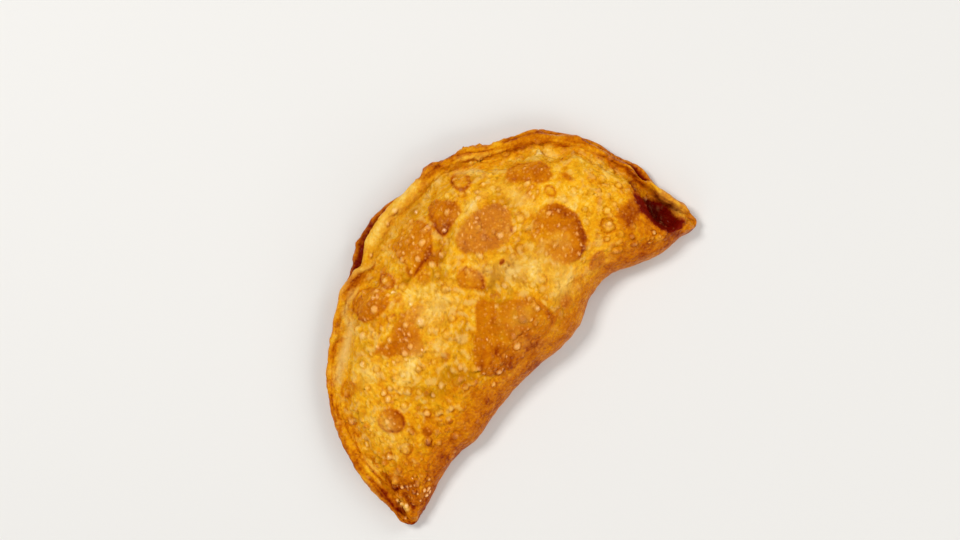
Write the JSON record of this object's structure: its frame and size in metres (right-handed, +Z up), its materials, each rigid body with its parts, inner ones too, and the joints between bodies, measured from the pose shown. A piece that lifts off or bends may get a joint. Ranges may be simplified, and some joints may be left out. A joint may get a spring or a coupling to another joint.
{
  "type": "cheburek",
  "caption": "Whole fried cheburek: dough folded into a half-moon, puffed up over its filling and sealed along a raised rim, with brown blisters.",
  "frame": {"origin": "centre of the bounding box in plan, at the height of the surface that it lies on", "axes": "+X along the fold from the left tip to the right tip, +Y from the fold to the sealed rim, +Z up out of the puffed top"},
  "size_m": [0.2054, 0.1172, 0.0312],
  "materials": {
    "crust": "deep-fried dough, golden with darker blisters, thin film of oil"
  },
  "bodies": {
    "root": {"cheburek": "crust"}
  },
  "joints": []
}
